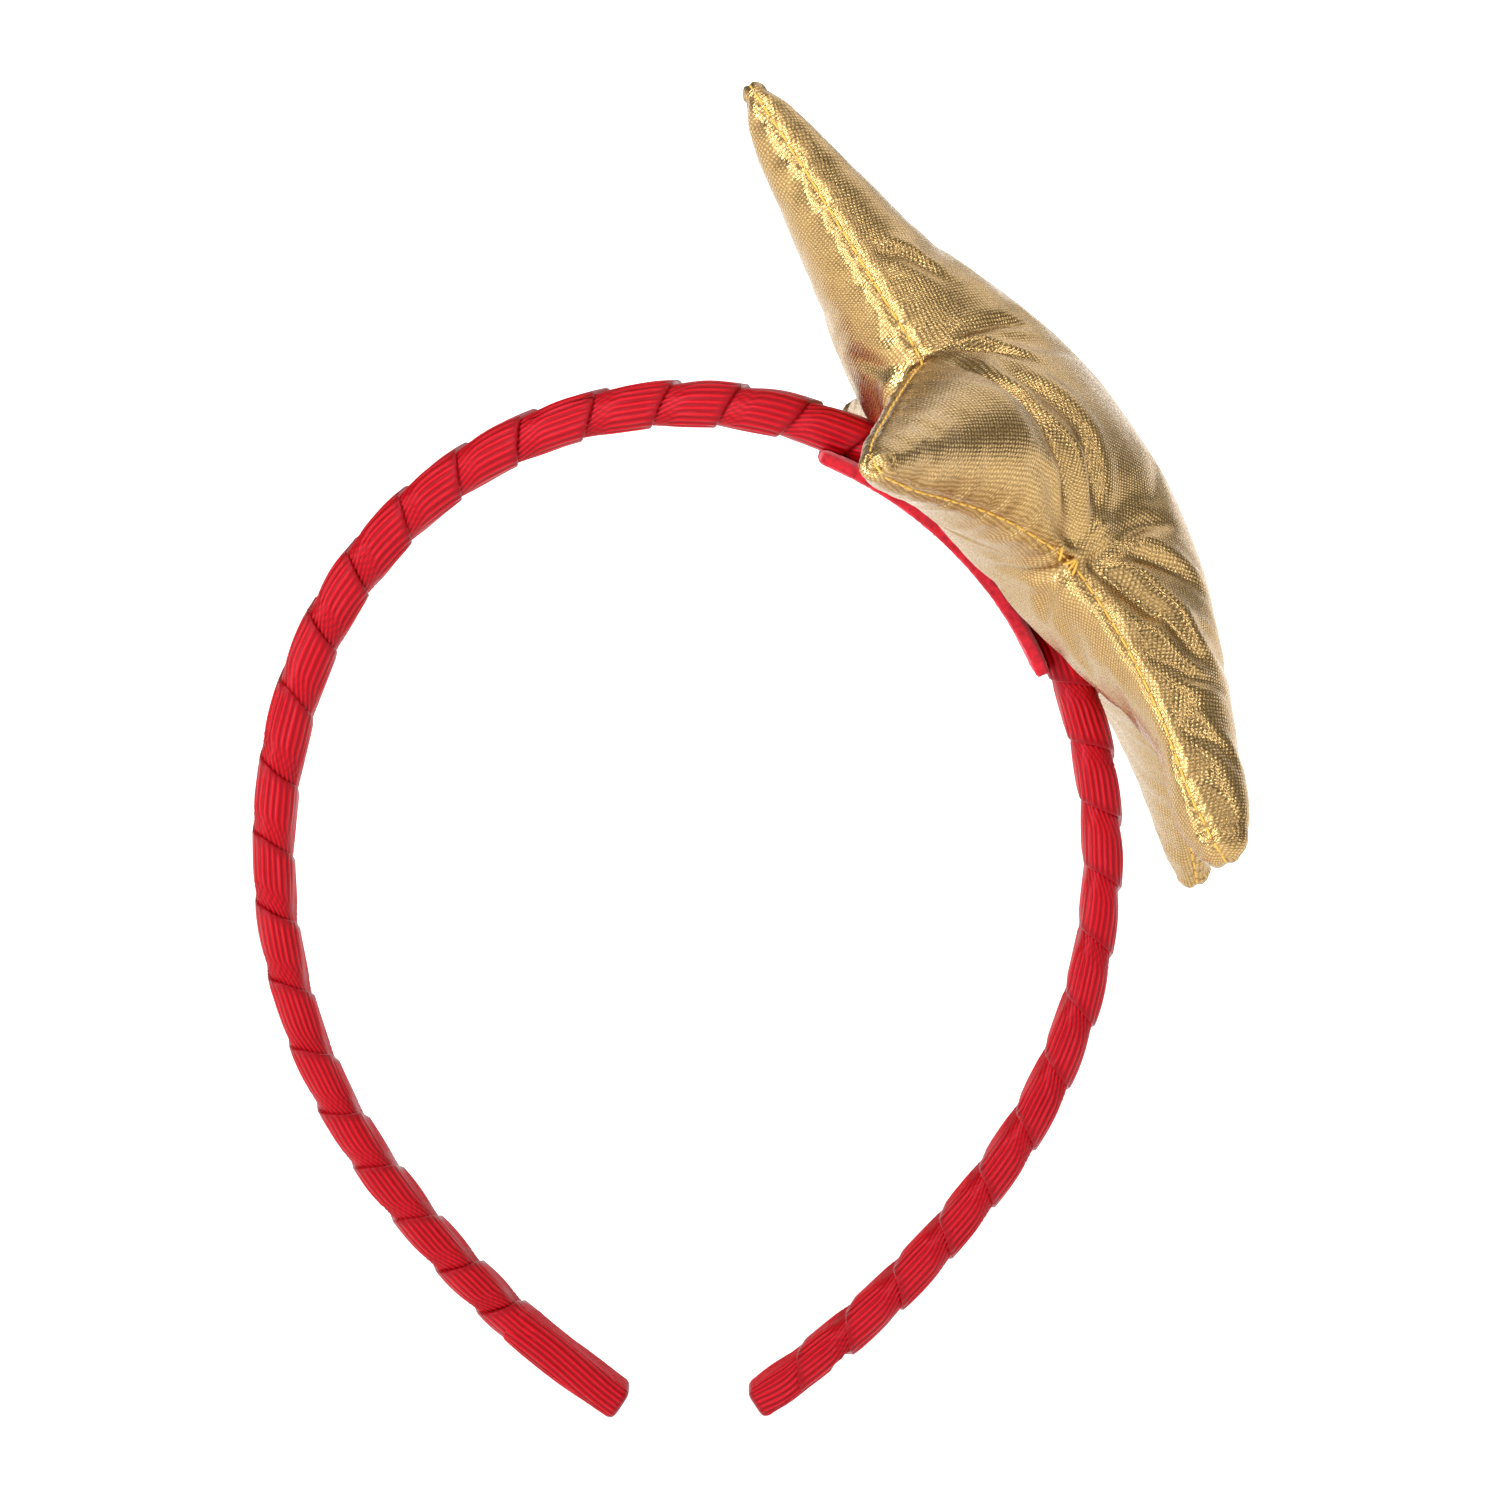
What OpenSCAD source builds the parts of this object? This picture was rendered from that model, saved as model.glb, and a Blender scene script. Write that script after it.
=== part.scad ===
// Star headband for dress-up: a springy plastic Alice band wound in grosgrain
// ribbon, with a stuffed foil-cloth star held to one side by a felt pad.
// Millimetres. +Z up towards the crown, +X towards the star, Y along the band's width.
// The origin is the centre of the crown's arc, in the middle of the head opening.

/* [Band] */
// Radius of the crown's centre line
crown_r = 58.5; // [57:0.5:60]
// Angle from the top to the end of the crown's arc
crown_angle = 69; // [67:1:71]
// Radius of the upper leg's centre line
leg_r = 77; // [74:1:80]
// Angle of the band where the lower leg begins
leg_angle = 124; // [121:1:127]
// Radius of the lower leg's centre line
tip_r = 134; // [126:2:142]
// Angle of the band at its tips
tip_angle = 146; // [144:0.5:147]
// Thickness of the plastic core
core_t = 3.0; // [2.8:0.1:3.2]
// Width of the plastic core
core_w = 7; // [6.5:0.5:8]

/* [Ribbon] */
// Wrapped thickness over the crown
crown_wrap = 1.3; // [1.1:0.1:1.4]
// Wrapped thickness over the legs
leg_wrap = 0.9; // [0.8:0.1:1.0]
// Wrapped thickness of the folded ends
end_wrap = 1.15; // [1.1:0.05:1.3]
// Extra thickness where one turn laps the next
lap_t = 0.25; // [0.15:0.05:0.3]
// Distance from one turn to the next
wrap_pitch = 10.4; // [9.6:0.2:11.2]
// Length of a lap along the band
lap_len = 3; // [2:0.5:4]
// Length of a folded end
end_len = 19; // [16:1:22]

/* [Spread] */
// Running gap at the two spread pivots
pivot_gap = 0.3; // [0.3:0.05:0.4]

/* [Star] */
// Centre to an arm's tip
star_r = 73; // [70:1:75]
// Inner corner radius over the tip radius
star_ratio = 0.45; // [0.43:0.01:0.48]
// Lean of the star's face from the vertical axis
star_lean = 59; // [58:1:60]
// How far the star's centre sits above its touching point
star_slide = 12.5; // [11.5:0.5:13.5]
// Stuffed height of the front
front_puff = 18; // [15:1:20]
// Stuffed height of the back
back_puff = 14; // [12:1:15]
// Forward arch of the star's middle
star_arch = 4; // [3:0.5:5]
// How far the side arms fall back
side_droop = 16; // [12:1:18]
// Thickness of the foil cloth
cloth_t = 0.5; // [0.4:0.1:0.6]
// Radius of the edge stitching
thread_r = 0.7; // [0.6:0.1:0.8]

/* [Felt pad] */
// Width of the felt pad
patch_w = 18; // [16:1:19]
// Thickness of the felt pad
patch_t = 1.8; // [1.4:0.2:2.2]
// Angle where the pad begins
patch_from = 21; // [20:1:24]
// Angle where the pad ends
patch_to = 68; // [64:1:68]
// Thickness of the glue under the pad
glue_t = 0.4; // [0.4:0.1:0.6]

/* [Hidden] */
$fn = 64;
crown_half = core_t / 2 + crown_wrap;
leg_half = core_t / 2 + leg_wrap;
// Centres of the upper and lower leg arcs, right side
c2x = (crown_r - leg_r) * sin(crown_angle);
c2z = (crown_r - leg_r) * cos(crown_angle);
c3x = c2x + (leg_r - tip_r) * sin(leg_angle);
c3z = c2z + (leg_r - tip_r) * cos(leg_angle);
// The spread pivot is where the upper leg crosses the origin's level
pivot_a = acos(-c2z / leg_r);
pivot_x = c2x + leg_r * sin(pivot_a);
// The crown stops short of the pivot, the folded end begins short of the tip
crown_end_a = pivot_a - 1.5 / leg_r * 180 / PI;
end_a = tip_angle - end_len / tip_r * 180 / PI;
// Each arc is let into the one above it by this much less thickness
root = 0.06;
// The star touches the wound crown here
outer_r = crown_r + crown_half;
star_off = outer_r - 0.1;
groove_gap = 0.35;
inner_r = star_r * star_ratio;
// Grid of the stuffed star
na = 90;
nt = 12;

// ---- band ----

// Rounded bar section, t across the band's thickness and w along its width
module bar(t, w, r) {
  square([t - 2 * r, w], center = true);
  square([t, w - 2 * r], center = true);
  for (i = [-1, 1], j = [-1, 1])
    translate([i * (t / 2 - r), j * (w / 2 - r)]) circle(r);
}

// Bar swept round an arc, angles counted from the top towards +X
module arc(cx, cz, r, a0, a1, t, w, f) {
  translate([cx, 0, cz]) rotate([90, 0, 0]) rotate([0, 0, 90 - a1])
    rotate_extrude(angle = a1 - a0, $fn = 180) translate([r, 0]) bar(t, w, f);
}

// The crown with h added to the core all round, right and left halves in one
module crown_run(h) {
  t = core_t + 2 * h;
  w = core_w + 2 * h;
  f = 0.9 + h;
  arc(0, 0, crown_r, -crown_angle, crown_angle, t, w, f);
  for (m = [0, 1]) mirror([m, 0, 0])
    arc(c2x, c2z, leg_r, crown_angle - 1, crown_end_a, t - root, w - root, f);
}

// The right leg from the pivot to angle a1
module leg_run(h, a1) {
  t = core_t + 2 * h;
  w = core_w + 2 * h;
  f = 0.9 + h * 0.9;
  arc(c2x, c2z, leg_r, pivot_a, leg_angle, t, w, f);
  arc(c3x, c3z, tip_r, leg_angle - 1, a1, t - root, w - root, f);
  at_pivot() cylinder(r = (t - root) / 2, h = w - root, center = true);
}

module at_pivot() {
  translate([pivot_x, 0, 0]) rotate([90, 0, 0]) children();
}

module pivot_room() {
  for (m = [0, 1]) mirror([m, 0, 0]) at_pivot()
    cylinder(r = leg_half + pivot_gap, h = 30, center = true);
}

module core_crown() {
  color("#e8e4dc") difference() {
    crown_run(0);
    pivot_room();
  }
}

module core_leg() {
  leg_run(0, tip_angle);
}

module core_right_leg() {
  color("#e8e4dc") core_leg();
}

module core_left_leg() {
  color("#e8e4dc") mirror([1, 0, 0]) core_leg();
}

// One lap of the ribbon, a raised turn over the wound band
module lap(cx, cz, r, a, h) {
  k = lap_len / r * 90 / PI;
  arc(cx, cz, r, a - k, a + k, core_t + 2 * h, core_w + 2 * h, 0.9 + h * 0.9);
}

module ribbon_crown() {
  pitch = wrap_pitch / crown_r * 180 / PI;
  color("#c81414") difference() {
    union() {
      crown_run(crown_wrap);
      for (i = [-6:6]) lap(0, 0, crown_r, i * pitch, crown_wrap + lap_t);
    }
    crown_run(0);
    pivot_room();
  }
}

module ribbon_leg() {
  up = wrap_pitch / leg_r * 180 / PI;
  low = wrap_pitch / tip_r * 180 / PI;
  difference() {
    union() {
      leg_run(leg_wrap, end_a);
      for (i = [1:4]) lap(c2x, c2z, leg_r, pivot_a + i * up, leg_wrap + lap_t);
      for (i = [1:2]) lap(c3x, c3z, tip_r, leg_angle + i * low, leg_wrap + lap_t);
    }
    leg_run(0, tip_angle + 1);
  }
}

module ribbon_right_leg() {
  color("#c81414") ribbon_leg();
}

module ribbon_left_leg() {
  color("#c81414") mirror([1, 0, 0]) ribbon_leg();
}

// The last turn, folded over the tip and glued
module ribbon_end() {
  difference() {
    arc(c3x, c3z, tip_r, end_a, tip_angle + 0.4, core_t + 2 * end_wrap, core_w + 2 * end_wrap, 1.8);
    leg_run(0, tip_angle);
  }
}

module ribbon_end_right() {
  color("#b81212") ribbon_end();
}

module ribbon_end_left() {
  color("#b81212") mirror([1, 0, 0]) ribbon_end();
}

// ---- felt pad and glue ----

module strip(r0, r1, a0, a1, w) {
  rotate([90, 0, 0]) rotate([0, 0, 90 - a1])
    rotate_extrude(angle = a1 - a0, $fn = 180) translate([r0, -w / 2]) square([r1 - r0, w]);
}

module felt_patch() {
  r = crown_r - crown_half - glue_t;
  color("#a01020") strip(r - patch_t, r, patch_from, patch_to, patch_w);
}

module glue_patch() {
  r = crown_r - crown_half;
  color("#e6dcc8") strip(r - glue_t, r, patch_from + 2, patch_to - 2, core_w);
}

module glue_star() {
  color("#e6dcc8") strip(outer_r, outer_r + groove_gap - 0.05, 40, 68, core_w);
}

// ---- star ----
// The star is drawn flat: X from the top arm towards the two lower arms, Y across, Z out of its face.

module on_band() {
  rotate([0, star_lean, 0]) translate([-star_slide, 0, star_off]) children();
}

// Degrees from direction a to the nearest arm
function off_arm(a) = let (m = ((a - 36) % 72 + 72) % 72) min(m, 72 - m);

// Edge of the star in direction a, straight sided with blunted tips
function rim(a) = let (d = off_arm(a))
  star_r * inner_r * sin(36) / (star_r * sin(d) + inner_r * sin(36 - d)) * (1 - 0.03 * exp(-pow(d / 3, 2)));

// Height of the seam: arched in the middle, side arms falling back
function seam(x, y) = star_arch * (1 - pow(x / star_r, 2)) - side_droop * pow(y / (0.951 * star_r), 2);

// Stuffed profile from the middle, t = 0, to the edge, t = 1
function dome(t, d) = let (k = d / 36) pow(max(0, 1 - pow(t, 1.6 + 0.6 * k)), 1.25 - 0.65 * k);

// Height of the wound band's back under the star, with the glue's room
function bed(x) = sqrt(max(1, pow(outer_r + groove_gap, 2) - pow(x - star_slide, 2))) - star_off;

// 1 over the band and the pad, 0 well to the side of them
function over_band(y) = let (k = min(1, max(0, (abs(y) - 10) / 6))) 1 - k * k * (3 - 2 * k);

function front_z(x, y, t, d) = seam(x, y) + front_puff * dome(t, d);
function back_z(x, y, t, d) = let (z = seam(x, y) - back_puff * dome(t, d), g = max(z, bed(x) + cloth_t)) z + (g - z) * over_band(y);

function step(i) = (i / nt + sin(90 * i / nt)) / 2;
function spot(i, j) = let (a = 360 * j / na, r = step(i) * rim(a)) [r * cos(a), r * sin(a)];

// Points of one face, middle first, then ring by ring outwards, raised by s
function face_pts(front, s) = [
  [0, 0, (front ? front_z(0, 0, 0, 0) : back_z(0, 0, 0, 0)) + s],
  for (i = [1:nt], j = [0:na - 1]) let (p = spot(i, j), d = off_arm(360 * j / na), t = step(i))
    [p[0], p[1], (front ? front_z(p[0], p[1], t, d) : back_z(p[0], p[1], t, d)) + s]
];

// Number of a point, ring 1 to nt, from first point o
function at(o, i, j) = o + 1 + (i - 1) * na + (j % na);

// Triangles of a face seen from +Z, or turned over
function skin(o, n, up) = [
  for (j = [0:na - 1]) up ? [o, at(o, 1, j + 1), at(o, 1, j)] : [o, at(o, 1, j), at(o, 1, j + 1)],
  for (i = [1:n - 1], j = [0:na - 1], k = [0, 1])
    let (p = at(o, i, j), q = at(o, i, j + 1), r = at(o, i + 1, j + 1), s = at(o, i + 1, j))
      k == 0 ? (up ? [p, q, r] : [p, r, q]) : (up ? [p, r, s] : [p, s, r])
];

module panel(front) {
  o2 = 1 + nt * na;
  lo = front ? 0 : -cloth_t;
  color(front ? "#c9a24a" : "#b8923e") on_band() polyhedron(
    points = concat(face_pts(front, lo + cloth_t), face_pts(front, lo)),
    faces = concat(
      skin(0, nt, true),
      skin(o2, nt, false),
      [for (j = [0:na - 1], k = [0, 1])
        let (p = at(0, nt, j), q = at(0, nt, j + 1), r = at(o2, nt, j + 1), s = at(o2, nt, j))
          k == 0 ? [p, q, r] : [p, r, s]]),
    convexity = 6);
}

module star_front_panel() {
  panel(true);
}

module star_back_panel() {
  panel(false);
}

module star_stuffing() {
  top = face_pts(true, 0);
  back = face_pts(false, 0);
  o2 = len(top);
  // The last ring is shared, so the back ends one ring short
  color("#f4f0e6") on_band() polyhedron(
    points = concat(top, [for (k = [0:(nt - 1) * na]) back[k]]),
    faces = concat(
      skin(0, nt, true),
      skin(o2, nt - 1, false),
      [for (j = [0:na - 1], k = [0, 1])
        let (p = at(o2, nt - 1, j), q = at(o2, nt - 1, j + 1), r = at(0, nt, j + 1), s = at(0, nt, j))
          k == 0 ? [p, r, q] : [p, s, r]]),
    convexity = 6);
}

// The edge's direction outwards, square to the run of the seam
function edge_out(j) = let (a = spot(nt, j - 1 + na), b = spot(nt, (j + 1) % na), d = [b[1] - a[1], a[0] - b[0]]) d / norm(d);

// Overcast edge stitching, as a cord round the whole outline
module star_seam_thread() {
  ns = 8;
  pts = [for (j = [0:na - 1], k = [0:ns - 1])
    let (p = spot(nt, j), o = edge_out(j), c = thread_r * (0.5 + cos(360 * k / ns)))
      [p[0] + o[0] * c, p[1] + o[1] * c, seam(p[0], p[1]) + thread_r * sin(360 * k / ns)]];
  color("#e0b83c") on_band() polyhedron(
    points = pts,
    faces = [for (j = [0:na - 1], k = [0:ns - 1], m = [0, 1])
      let (p = j * ns + k, q = j * ns + (k + 1) % ns, r = ((j + 1) % na) * ns + (k + 1) % ns, s = ((j + 1) % na) * ns + k)
        m == 0 ? [p, q, r] : [p, r, s]],
    convexity = 8);
}

// Hand stitches over the stuffing hole, at the corner between the lower and the side arm facing -Y
module closing_stitches() {
  color("#f0cc50") on_band() for (k = [-2:2]) {
    a = 288 + k * 4;
    p = [(rim(a) + 0.9) * cos(a), (rim(a) + 0.9) * sin(a)];
    translate([p[0], p[1], seam(p[0], p[1])]) rotate([k * 6, 0, 0]) cylinder(r = 0.35, h = 5, center = true, $fn = 24);
  }
}

core_crown();
core_left_leg();
core_right_leg();
ribbon_crown();
ribbon_left_leg();
ribbon_right_leg();
ribbon_end_left();
ribbon_end_right();
felt_patch();
glue_patch();
glue_star();
star_stuffing();
star_back_panel();
star_front_panel();
star_seam_thread();
closing_stitches();
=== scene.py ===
import math

import bpy
import bmesh
import numpy as np
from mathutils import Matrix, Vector
from mathutils.geometry import delaunay_2d_cdt


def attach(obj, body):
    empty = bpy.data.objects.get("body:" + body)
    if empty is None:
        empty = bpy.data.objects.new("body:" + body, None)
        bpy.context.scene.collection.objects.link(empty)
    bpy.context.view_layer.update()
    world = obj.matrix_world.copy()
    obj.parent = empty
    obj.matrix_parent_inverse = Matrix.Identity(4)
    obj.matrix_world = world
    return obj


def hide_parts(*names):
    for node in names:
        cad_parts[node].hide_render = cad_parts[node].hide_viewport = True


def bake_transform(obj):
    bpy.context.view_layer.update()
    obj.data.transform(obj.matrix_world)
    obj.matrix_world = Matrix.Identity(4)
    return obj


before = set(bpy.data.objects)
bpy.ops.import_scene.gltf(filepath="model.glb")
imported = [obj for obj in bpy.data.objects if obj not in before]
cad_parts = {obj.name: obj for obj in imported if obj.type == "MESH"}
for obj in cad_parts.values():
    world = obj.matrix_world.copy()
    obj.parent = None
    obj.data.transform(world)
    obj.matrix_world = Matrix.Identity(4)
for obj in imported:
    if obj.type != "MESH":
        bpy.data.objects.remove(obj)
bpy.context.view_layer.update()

MM = 0.001
rng = np.random.default_rng(7)


def smooth(a, b, x):
    k = np.clip((np.asarray(x, float) - a) / (b - a), 0, 1)
    return k * k * (3 - 2 * k)


def mesh_object(name, points, faces, shade=True):
    """points in millimetres, in the row frame"""
    me = bpy.data.meshes.new(name)
    me.from_pydata((np.asarray(points, float) * MM).tolist(), [], [tuple(int(i) for i in f) for f in faces])
    me.update()
    if shade:
        me.polygons.foreach_set("use_smooth", np.ones(len(me.polygons), bool))
    ob = bpy.data.objects.new(name, me)
    bpy.context.scene.collection.objects.link(ob)
    return ob


def put(me, name, values, kind="FLOAT"):
    at = me.attributes.new(name, kind, "POINT")
    key = "value" if kind == "FLOAT" else "vector"
    at.data.foreach_set(key, np.asarray(values, np.float32).ravel())


# ---------------------------------------------------------------- the band's line
R1, A1 = 58.5, math.radians(69)
R2, A2 = 77.0, math.radians(124)
R3, A3 = 134.0, math.radians(146)
C2 = np.array([(R1 - R2) * math.sin(A1), (R1 - R2) * math.cos(A1)])
C3 = C2 + np.array([(R2 - R3) * math.sin(A2), (R2 - R3) * math.cos(A2)])
L1, L2, L3 = R1 * A1, R2 * (A2 - A1), R3 * (A3 - A2)
HALF = L1 + L2 + L3


def band_line(s):
    """s runs along the band from the middle of the crown, positive towards the left tip. Centre and outward normal, in X and Z."""
    s = np.asarray(s, float)
    d = np.abs(s)
    a = np.where(d < L1, d / R1, np.where(d < L1 + L2, A1 + (d - L1) / R2, A2 + (d - L1 - L2) / R3))
    r = np.where(d < L1, R1, np.where(d < L1 + L2, R2, R3))
    cx = np.where(d < L1, 0, np.where(d < L1 + L2, C2[0], C3[0]))
    cz = np.where(d < L1, 0, np.where(d < L1 + L2, C2[1], C3[1]))
    side = np.where(s >= 0, -1.0, 1.0)
    nx, nz = np.sin(a), np.cos(a)
    return (cx + r * nx) * side, cz + r * nz, nx * side, nz


def section(t, w, r, count):
    """count points round a rounded bar, from the outer corner facing -Y, over the -Y face to the inner side and on.
    Columns: outward offset, Y offset, and the normal's two parts."""
    a, b = t / 2 - r, w / 2 - r
    quarter = math.pi / 2 * r
    runs = [quarter / 2, 2 * a, quarter, 2 * b, quarter, 2 * a, quarter, 2 * b, quarter / 2]
    total = sum(runs)
    out = np.zeros((count, 4))
    edges = np.cumsum([0] + runs)
    for i in range(count):
        p = total * i / count
        k = int(np.searchsorted(edges, p, side="right") - 1)
        q = p - edges[k]
        if k == 0:
            ang = math.radians(-45) - q / r
            c = (a, -b)
        elif k == 2:
            ang = math.radians(-90) - q / r
            c = (-a, -b)
        elif k == 4:
            ang = math.radians(-180) - q / r
            c = (-a, b)
        elif k == 6:
            ang = math.radians(-270) - q / r
            c = (a, b)
        elif k == 8:
            ang = -q / r
            c = (a, -b)
        if k in (0, 2, 4, 6, 8):
            n = (math.cos(ang), math.sin(ang))
            out[i] = (c[0] + r * n[0], c[1] + r * n[1], n[0], n[1])
        elif k == 1:
            out[i] = (a - q, -w / 2, 0, -1)
        elif k == 3:
            out[i] = (-t / 2, -b + q, -1, 0)
        elif k == 5:
            out[i] = (-a + q, w / 2, 0, 1)
        else:
            out[i] = (t / 2, b - q, 1, 0)
    return out, total, edges


# ---------------------------------------------------------------- the wound ribbon
M = 216                       # points round one turn
THICK_CROWN, THICK_LEG = 5.9, 4.75
WIDE = 9.3


def thick(s):
    d = np.abs(s)
    return THICK_CROWN + (THICK_LEG - THICK_CROWN) * smooth(62, 118, d)


def lap_starts():
    """Where each turn's lip meets the outer corner, from the right tip to the left tip."""
    left, s = [2.7], 2.7
    while s < HALF + 14:
        s += (10.35 - 1.35 * float(smooth(105, 165, s))) * (1 + 0.05 * rng.standard_normal())
        left.append(s)
    right, s = [], 2.7
    while s > -HALF - 14:
        s -= (9.85 - 1.1 * float(smooth(125, 170, -s))) * (1 + 0.05 * rng.standard_normal())
        right.append(s)
    return np.array(right[::-1] + left), len(right)


def wound_ribbon(name, starts, first, last, cut_lo, cut_hi):
    """The strip from turn first to turn last. The strip's columns run round and round the band and its rows run across it."""
    rows = np.array([0.0, 0.004, 0.016, 0.05, 0.095, 0.16, 0.24, 0.33, 0.43, 0.53, 0.63, 0.72, 0.80, 0.87, 0.93, 0.985, 1.03, 1.07])
    top = np.array([-0.55, -0.06, 0.04, 0.05, 0.03, 0, 0, 0, 0, 0, 0, 0, 0, 0, 0, 0, -0.12, -0.4])
    base = 0.30 - 0.50 * rows + 0.22 * np.sin(np.pi * np.clip(rows, 0, 1))
    sec0, per0, edges0 = section(5.4, WIDE, 2.3, M)
    # How far the lip has moved along the band by each point of the turn: quicker over the two narrow faces
    weight = np.where(np.abs(sec0[:, 3]) > 0.75, 1.9, 1.0)
    weight = np.convolve(np.r_[weight[-9:], weight, weight[:9]], np.ones(19) / 19, mode="valid")
    lag = np.concatenate([[0], np.cumsum(weight)[:-1]]) / weight.sum()
    turns = range(first, last)
    pts, rib_at, frac_at, strip_at, s_at = [], [], [], [], []
    wob = {}
    for k in range(first, last + 1):
        g = np.random.default_rng(1000 + k)
        wob[k] = g.uniform(-1, 1, 8)
    for k in turns:
        for j in range(M):
            u = lag[j]
            lo = starts[k] + (starts[k + 1] - starts[k]) * u
            hi = starts[k + 1] + (starts[k + 2] - starts[k + 1]) * u
            ph = j / M
            w0, w1 = wob[k], wob[k + 1] if k + 1 in wob else wob[k]
            mix = w0 * (1 - ph) + w1 * ph
            edge = 0.35 * mix[0] * math.sin(2 * math.pi * ph + 1.0) + 0.22 * mix[1] * math.sin(6 * math.pi * ph)
            s = lo + (hi - lo) * rows + edge * np.clip(1 - rows, 0, 1)
            t = float(thick(lo))
            scale = (t - 5.4) / 2
            off, y, nn, ny = sec0[j]
            # a thinner leg moves the outer and inner faces in
            off = off + scale * (off / 2.7)
            p = (k + ph) * per0
            kink = (1.5 + 0.5 * mix[2]) * smooth(0.62, 1.06, rows) + 0.25 * mix[3] * np.sin(rows * 3.0)
            phase = (p - kink) / 0.79
            # the rib profile shapes the ribs and also sets their colour through the rib attribute: painted shade in the
            # valleys, painted highlight on the crowns
            rib = 0.5 + 0.5 * np.cos(2 * math.pi * phase)
            rib = rib ** 1.7
            # the edge rows are less ribbed, so their colour also stays near the valley colour: painted shade along the
            # lap
            ribbed = 0.30 + 0.70 * smooth(0.07, 0.13, rows)
            lift = base + top + 0.10 * (rib - 0.5) * 2 * ribbed * (0.8 + 0.35 * mix[4] + 0.3 * np.sin(p * 0.7 + rows * 4))
            lift = lift + 0.10 * mix[5] * np.sin(math.pi * np.clip(rows, 0, 1)) + 0.06 * mix[6] * np.sin(2 * math.pi * (2 * ph + rows))
            x, z, bx, bz = band_line(s)
            h = off + lift * nn
            pts.append(np.stack([x + bx * h, np.full_like(x, y) + lift * ny, z + bz * h], 1))
            rib_at.append(rib * ribbed)
            frac_at.append(rows)
            s_at.append(s)
            strip_at.append(np.stack([np.full_like(rows, p), rows * 10.3, np.full_like(rows, k % 7)], 1))
    pts = np.array(pts)
    n, m = pts.shape[:2]
    idx = np.arange(n * m).reshape(n, m)
    a, b, c, d = idx[:-1, :-1], idx[1:, :-1], idx[1:, 1:], idx[:-1, 1:]
    quads = np.stack([a, b, c, d], -1).reshape(-1, 4)
    # only what lies between the two cuts along the band
    srow = np.array(pts.reshape(-1, 3))
    along = np.array(s_at).reshape(-1)
    ok = (along[quads] > cut_lo).all(1) & (along[quads] < cut_hi).all(1)
    quads = quads[ok]
    used = np.unique(quads)
    new = np.full(len(srow), -1)
    new[used] = np.arange(len(used))
    ob = mesh_object(name, srow[used], new[quads])
    put(ob.data, "rib", np.array(rib_at).reshape(-1)[used])
    put(ob.data, "lapf", np.array(frac_at).reshape(-1)[used])
    put(ob.data, "strip", np.array(strip_at).reshape(-1, 3)[used], "FLOAT_VECTOR")
    return ob


def end_tab(name, side, s0):
    """The last turn, folded over the tip: a snug sleeve with a closed, pinched end."""
    g = np.random.default_rng(21 if side > 0 else 22)
    s1 = HALF + 0.9
    under = side < 0
    ss = np.concatenate([[s0, s0 + 0.02, s0 + 0.15], np.linspace(s0 + 0.6, s1 - 1.0, 26), [s1 - 0.6, s1 - 0.3, s1 - 0.1, s1]])
    grow = np.concatenate([[-0.5, 0.0, 0.12], np.full(26, 0.16), [0.10, -0.05, -0.35, -0.75]])
    sec, per, _ = section(5.1, WIDE + 0.1, 1.7, M)
    ph = np.arange(M) / M
    if under:
        grow = grow - 0.40 * (1 - smooth(s0 + 4.5, s0 + 9.5, ss)) - 0.42 * smooth(s0 + 5.0, s1, ss)
    else:
        grow = grow - 0.22 * smooth(s0 + 9.0, s1, ss)
    pts, ribs, strip = [], [], []
    for i, s in enumerate(ss):
        k = (i / (len(ss) - 1))
        slant = 1.6 * (1 - k) * np.cos(2 * math.pi * (ph - 0.62)) * (1 if side > 0 else -1)
        sv = s + np.where(i < 28, slant, 0) * smooth(1, 0, k)
        t = 5.1
        p = ph * per
        bend = 0.5 * math.sin(k * 5 + (0 if side > 0 else 2))
        rib = (0.5 + 0.5 * np.cos(2 * math.pi * (p - bend) / 0.80)) ** 1.7
        # damp flattens the ribs near the end, and as the colour follows rib, the end also comes out darker: painted
        # shade at the folded end
        damp = 1.0 if i < 29 else 0.3
        lift = grow[i] + 0.10 * (rib - 0.5) * 2 * damp + 0.05 * np.sin(2 * math.pi * (ph * 3 + k * 1.3))
        x, z, bx, bz = band_line(side * sv)
        h = sec[:, 0] + lift * sec[:, 2]
        pts.append(np.stack([x + bx * h, sec[:, 1] + lift * sec[:, 3], z + bz * h], 1))
        ribs.append(rib * damp)
        strip.append(np.stack([p, np.full(M, s - s0), np.zeros(M)], 1))
    # the closed end
    last = pts[-1]
    centre = last.mean(0)
    for f, push in ((0.7, 0.12), (0.35, 0.16), (0.02, 0.1)):
        x, z, bx, bz = band_line(side * (s1 + push))
        ring = centre + (last - centre) * f
        step = np.array([x, 0, z]) - np.array([band_line(side * s1)[0], 0, band_line(side * s1)[1]])
        pts.append(ring + step)
        # the closed end gets a still darker colour: painted shade in the pinch
        ribs.append(ribs[-1] * 0.3)
        strip.append(strip[-1])
    pts = np.array(pts)
    n = len(pts)
    faces = []
    for i in range(n - 1):
        for j in range(M):
            q = (i * M + j, i * M + (j + 1) % M, (i + 1) * M + (j + 1) % M, (i + 1) * M + j)
            faces.append(q if side < 0 else q[::-1])
    faces.append(tuple((n - 1) * M + j for j in range(M)) if side < 0 else tuple((n - 1) * M + j for j in range(M))[::-1])
    ob = mesh_object(name, pts.reshape(-1, 3), faces)
    put(ob.data, "rib", np.array(ribs))
    put(ob.data, "lapf", np.full(n * M, 0.5))
    put(ob.data, "strip", np.array(strip), "FLOAT_VECTOR")
    return ob


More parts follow.
